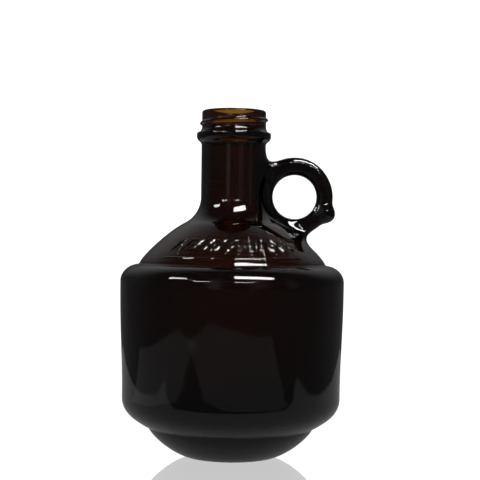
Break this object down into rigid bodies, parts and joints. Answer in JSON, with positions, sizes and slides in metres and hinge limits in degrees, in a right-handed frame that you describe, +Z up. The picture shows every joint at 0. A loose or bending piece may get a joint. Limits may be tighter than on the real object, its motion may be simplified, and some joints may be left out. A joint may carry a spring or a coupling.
{
  "type": "growler",
  "caption": "Squat amber glass growler with a stepped heel, a narrow screw-thread neck and a small finger ring with a thumb nub.",
  "frame": {"origin": "on the jug's axis, in the plane that its bearing ring stands on", "axes": "+Z up along the jug's axis, +X from the axis towards the handle"},
  "size_m": [0.122, 0.122, 0.1886],
  "materials": {
    "amber_glass": "glossy, smooth, very dark amber brown glass, lighter and more orange where it is thin"
  },
  "bodies": {
    "root": {"base_cup": "amber_glass", "heel_bowl": "amber_glass", "heel_roll": "amber_glass", "body_wall": "amber_glass", "shoulder_roll": "amber_glass", "shoulder_dome": "amber_glass", "neck_flare": "amber_glass", "neck_tube": "amber_glass", "transfer_bead": "amber_glass", "finish_wall": "amber_glass", "sealing_lip": "amber_glass", "thread_ridge": "amber_glass", "handle_ring": "amber_glass", "handle_web": "amber_glass", "handle_foot": "amber_glass", "thumb_nub": "amber_glass", "shoulder_relief": "amber_glass", "shoulder_line": "amber_glass"}
  },
  "joints": []
}
